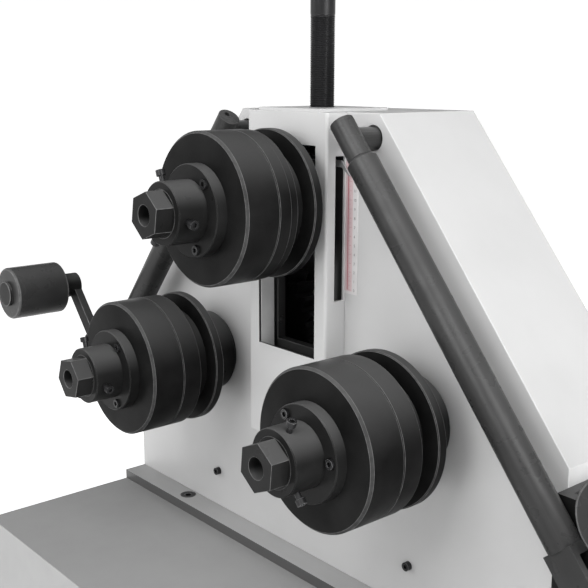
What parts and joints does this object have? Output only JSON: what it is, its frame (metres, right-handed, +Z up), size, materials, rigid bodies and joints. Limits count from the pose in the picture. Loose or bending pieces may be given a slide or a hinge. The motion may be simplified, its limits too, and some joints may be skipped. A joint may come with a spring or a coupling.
{
  "type": "ring roller",
  "caption": "Floor-standing three-roller ring roller: screw-fed upper roller, two geared lower rollers, side struts with guide rollers, on a sheet cabinet.",
  "frame": {"origin": "on the floor, under the middle of the cabinet, at the centre of the anchor holes", "axes": "+X along the machine to the right seen from the front, +Y to the back, +Z up; the rollers and controls face -Y"},
  "size_m": [1.086, 0.667, 1.5017],
  "materials": {
    "grey_white_paint": "smooth semi-gloss machine paint",
    "grey_paint": "fine textured grey paint",
    "black_oxide": "turned and blackened steel",
    "satin_steel": "dark satin steel",
    "ground_steel": "ground bright steel",
    "bronze": "machined bronze",
    "label_film": "printed scale film",
    "motor_paint": "hammered blue-grey paint",
    "black_plastic": "moulded black plastic",
    "green_plastic": "moulded green plastic",
    "red_plastic": "moulded red plastic"
  },
  "bodies": {
    "frame": {"cabinet_shell": "grey_paint", "rear_panel": "grey_paint", "base_plate": "grey_paint", "base_bolts": "black_oxide", "front_wall": "grey_white_paint", "side_shell": "grey_white_paint", "rear_wall": "grey_white_paint", "front_cover": "grey_white_paint", "guide_rails": "ground_steel", "spindle_nut": "bronze", "scale_strip": "label_film", "bearing_flanges": "black_oxide", "lower_bearings": "ground_steel", "cap_screws": "black_oxide", "gearbox": "motor_paint", "motor": "motor_paint", "control_box": "grey_paint", "arm_brackets": "black_oxide"},
    "slide_block": {"slide": "satin_steel", "slide_bearings": "ground_steel", "pointer": "satin_steel"},
    "upper_roll": {"upper_shaft": "black_oxide", "upper_front_roller": "black_oxide", "upper_middle_roller": "black_oxide", "upper_spacer": "black_oxide", "upper_rear_roller": "black_oxide", "upper_retainer": "black_oxide", "upper_screws": "black_oxide"},
    "left_roll": {"left_shaft": "black_oxide", "left_front_roller": "black_oxide", "left_middle_roller": "black_oxide", "left_spacer": "black_oxide", "left_rear_roller": "black_oxide", "left_retainer": "black_oxide", "left_screws": "black_oxide", "left_gear": "ground_steel"},
    "right_roll": {"right_shaft": "black_oxide", "right_front_roller": "black_oxide", "right_middle_roller": "black_oxide", "right_spacer": "black_oxide", "right_rear_roller": "black_oxide", "right_retainer": "black_oxide", "right_screws": "black_oxide", "right_gear": "ground_steel"},
    "pinion": {"drive_pinion": "ground_steel"},
    "feed_screw": {"spindle": "black_oxide", "handwheel": "black_oxide"},
    "handle": {"handle_knob": "black_plastic"},
    "forward_key": {"forward_button": "green_plastic"},
    "reverse_key": {"reverse_button": "black_plastic"},
    "stop_key": {"stop_button": "red_plastic"},
    "switch_knob": {"main_switch": "black_plastic"},
    "left_strut_upper": {"left_strut_head": "satin_steel"},
    "left_strut_lower": {"left_strut_tube": "satin_steel"},
    "left_arm": {"left_guide_arm": "black_oxide"},
    "left_guide": {"left_guide_roller": "satin_steel"},
    "right_strut_upper": {"right_strut_head": "satin_steel"},
    "right_strut_lower": {"right_strut_tube": "satin_steel"},
    "right_arm": {"right_guide_arm": "black_oxide"},
    "right_guide": {"right_guide_roller": "satin_steel"}
  },
  "joints": [
    {"name": "slide_feed", "type": "slide", "parent": "frame", "child": "slide_block", "axis": [0, 0, 1], "range_m": [-0.126, 0.004]},
    {"name": "screw_turn", "type": "hinge", "parent": "slide_block", "child": "feed_screw", "pos_m": [0, -0.015, 1.3134], "axis": [0, 0, 1], "range_deg": [-22680, 720]},
    {"name": "upper_spin", "type": "hinge", "parent": "slide_block", "child": "upper_roll", "pos_m": [0, -0.04, 1.1508], "axis": [0, 1, 0], "continuous": true},
    {"name": "right_spin", "type": "hinge", "parent": "frame", "child": "right_roll", "pos_m": [0.1809, -0.04, 0.9359], "axis": [0, 1, 0], "continuous": true},
    {"name": "left_spin", "type": "hinge", "parent": "frame", "child": "left_roll", "pos_m": [-0.1809, -0.04, 0.9359], "axis": [0, 1, 0], "continuous": true},
    {"name": "pinion_spin", "type": "hinge", "parent": "frame", "child": "pinion", "pos_m": [0, -0.04, 0.8631], "axis": [0, 1, 0], "continuous": true},
    {"name": "handle_spin", "type": "hinge", "parent": "feed_screw", "child": "handle", "pos_m": [-0.09959, 0.0425, 1.4334], "axis": [0, 0, 1], "continuous": true},
    {"name": "forward_press", "type": "slide", "parent": "frame", "child": "forward_key", "axis": [0, 1, 0], "range_m": [0, 0.004], "stiffness_N_per_m": 800, "springref_m": -0.001},
    {"name": "reverse_press", "type": "slide", "parent": "frame", "child": "reverse_key", "axis": [0, 1, 0], "range_m": [0, 0.004], "stiffness_N_per_m": 800, "springref_m": -0.001},
    {"name": "stop_press", "type": "slide", "parent": "frame", "child": "stop_key", "axis": [0, 1, 0], "range_m": [0, 0.004], "stiffness_N_per_m": 800, "springref_m": -0.001},
    {"name": "switch_turn", "type": "hinge", "parent": "frame", "child": "switch_knob", "pos_m": [0.24, -0.355, 0.6275], "axis": [0, 1, 0], "range_deg": [0, 90]},
    {"name": "right_arm_swing", "type": "hinge", "parent": "frame", "child": "right_arm", "pos_m": [0.44, -0.0749, 0.9014], "axis": [0, -1, 0], "range_deg": [0, 12]},
    {"name": "right_strut_swing", "type": "hinge", "parent": "frame", "child": "right_strut_upper", "pos_m": [0.108, -0.0749, 1.2254], "axis": [0, -1, 0], "range_deg": [0, 0.98]},
    {"name": "right_strut_extend", "type": "slide", "parent": "right_strut_upper", "child": "right_strut_lower", "axis": [0.6341, 0, -0.7732], "range_m": [0, 0.00965]},
    {"name": "right_guide_spin", "type": "hinge", "parent": "right_arm", "child": "right_guide", "pos_m": [0.505, -0.14, 0.9754], "axis": [0, 1, 0], "continuous": true},
    {"name": "left_arm_swing", "type": "hinge", "parent": "frame", "child": "left_arm", "pos_m": [-0.44, -0.0749, 0.9014], "axis": [0, 1, 0], "range_deg": [0, 12]},
    {"name": "left_strut_swing", "type": "hinge", "parent": "frame", "child": "left_strut_upper", "pos_m": [-0.108, -0.0749, 1.2254], "axis": [0, 1, 0], "range_deg": [0, 0.98]},
    {"name": "left_strut_extend", "type": "slide", "parent": "left_strut_upper", "child": "left_strut_lower", "axis": [-0.6341, 0, -0.7732], "range_m": [0, 0.00965]},
    {"name": "left_guide_spin", "type": "hinge", "parent": "left_arm", "child": "left_guide", "pos_m": [-0.505, -0.14, 0.9754], "axis": [0, 1, 0], "continuous": true}
  ],
  "couplings": [
    {"joint": "slide_feed", "follows": "screw_turn", "m_per_rad": 0.00031831},
    {"joint": "left_spin", "follows": "right_spin", "ratio": 1},
    {"joint": "pinion_spin", "follows": "right_spin", "ratio": -2},
    {"joint": "right_strut_swing", "follows": "right_arm_swing", "ratio": 0.07974},
    {"joint": "right_strut_extend", "follows": "right_arm_swing", "m_per_rad": 0.045589},
    {"joint": "left_strut_swing", "follows": "left_arm_swing", "ratio": 0.07974},
    {"joint": "left_strut_extend", "follows": "left_arm_swing", "m_per_rad": 0.045589}
  ]
}
